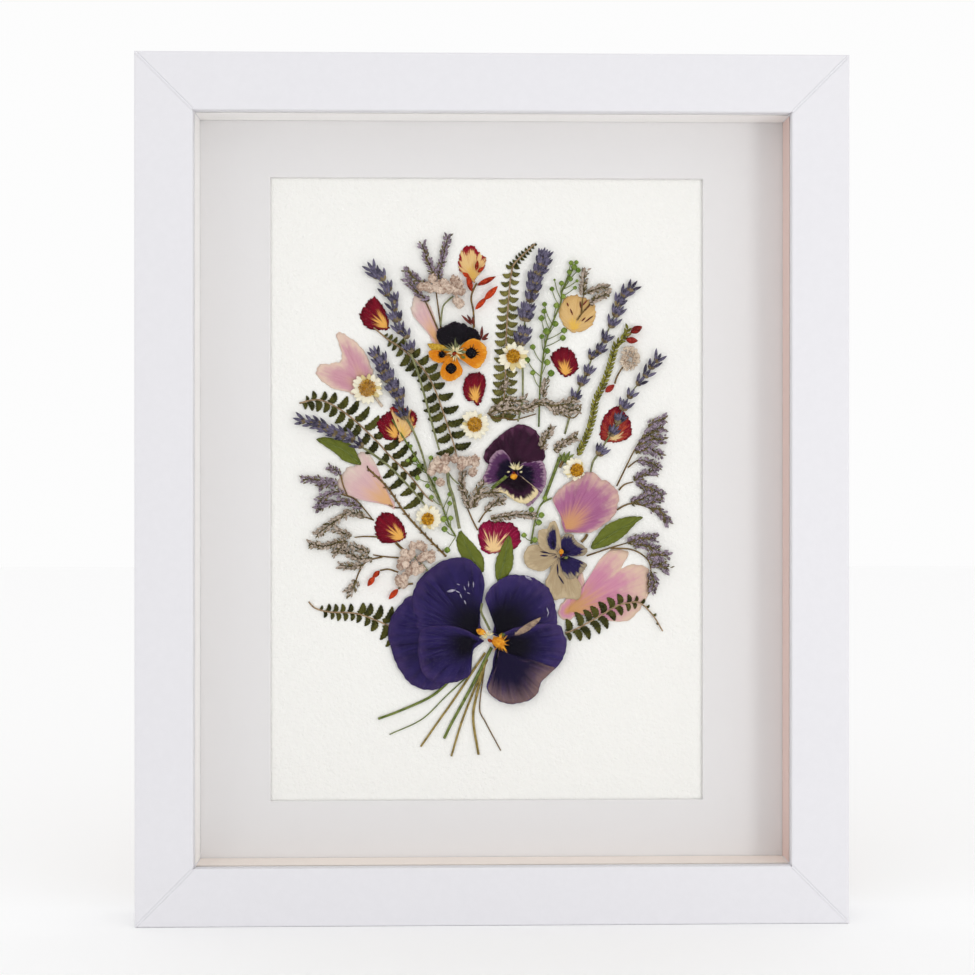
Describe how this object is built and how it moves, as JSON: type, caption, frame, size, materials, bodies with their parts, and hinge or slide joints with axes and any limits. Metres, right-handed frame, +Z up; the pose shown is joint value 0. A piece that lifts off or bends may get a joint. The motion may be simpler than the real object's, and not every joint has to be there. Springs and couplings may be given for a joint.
{
  "type": "pressed flower frame",
  "caption": "White mitred box frame with a glazing pane, a pale window mat and pressed pansies, petals, ferns, lavender and daisies glued to art paper.",
  "frame": {"origin": "centre of the outer box in plan, at the height of the bottom rail's underside", "axes": "+Z up the tall side, +Y from the glazed front to the back, +X to the viewer's right as seen from the front"},
  "size_m": [0.318, 0.032, 0.388],
  "materials": {
    "painted_wood": "satin white paint",
    "clear_glass": "clear",
    "spacer_card": "matte",
    "mat_card": "matte",
    "art_paper": "rough, matte",
    "fibreboard": "matte",
    "tab_steel": "brushed",
    "indigo_petal": "dry, matte",
    "plum_petal": "dry, matte",
    "black_orange_petal": "dry, matte",
    "navy_beige_petal": "dry, matte",
    "pink_petal": "dry, matte",
    "lilac_petal": "dry, matte",
    "rose_petal": "dry, matte",
    "daisy_head": "dry, matte",
    "leaf_green": "dry, matte",
    "fern_green": "dry, matte",
    "lavender_bud": "dry, matte",
    "statice_floret": "dry, matte",
    "pod_green": "dry, matte"
  },
  "bodies": {
    "root": {"rail_top": "painted_wood", "rail_bottom": "painted_wood", "rail_left": "painted_wood", "rail_right": "painted_wood", "glazing_pane": "clear_glass", "spacer_left": "spacer_card", "spacer_right": "spacer_card", "spacer_bottom": "spacer_card", "spacer_top": "spacer_card", "window_mat": "mat_card", "art_paper": "art_paper", "backing_board": "fibreboard", "tab_top": "tab_steel", "tab_bottom": "tab_steel", "tab_left": "tab_steel", "tab_right": "tab_steel", "pansy_indigo": "indigo_petal", "pansy_plum": "plum_petal", "viola_black": "black_orange_petal", "viola_navy": "navy_beige_petal", "petal_two_lobed": "pink_petal", "petal_pink_large": "pink_petal", "petal_pale_left": "pink_petal", "petal_pale_top": "pink_petal", "petal_lilac": "lilac_petal", "rose_petal_cream_top": "rose_petal", "rose_petal_crimson_top": "rose_petal", "rose_petal_orange": "rose_petal", "rose_petal_crimson_right": "rose_petal", "rose_petal_striped": "rose_petal", "rose_petal_crimson_low": "rose_petal", "rose_petal_centre": "rose_petal", "rose_petal_small": "rose_petal", "rose_petal_cream_left": "rose_petal", "leaf_left": "leaf_green", "leaf_right": "leaf_green", "leaf_centre_left": "leaf_green", "leaf_centre_right": "leaf_green", "fern_centre": "fern_green", "fern_olive": "fern_green", "fern_left": "fern_green", "fern_low_left": "fern_green", "fern_low_right": "fern_green", "lavender_upper_left": "lavender_bud", "lavender_upper_middle": "lavender_bud", "lavender_left_long": "lavender_bud", "lavender_far_left": "lavender_bud", "lavender_right_thin": "lavender_bud", "lavender_right_long": "lavender_bud", "statice_upper_left": "statice_floret", "statice_right_upper": "statice_floret", "statice_right_middle": "statice_floret", "statice_right_low": "statice_floret", "statice_left_low": "statice_floret", "pod_sprig_right": "pod_green", "daisy_top": "daisy_head", "daisy_left": "daisy_head", "daisy_middle": "daisy_head", "daisy_right": "daisy_head", "daisy_low": "daisy_head"}
  },
  "joints": []
}
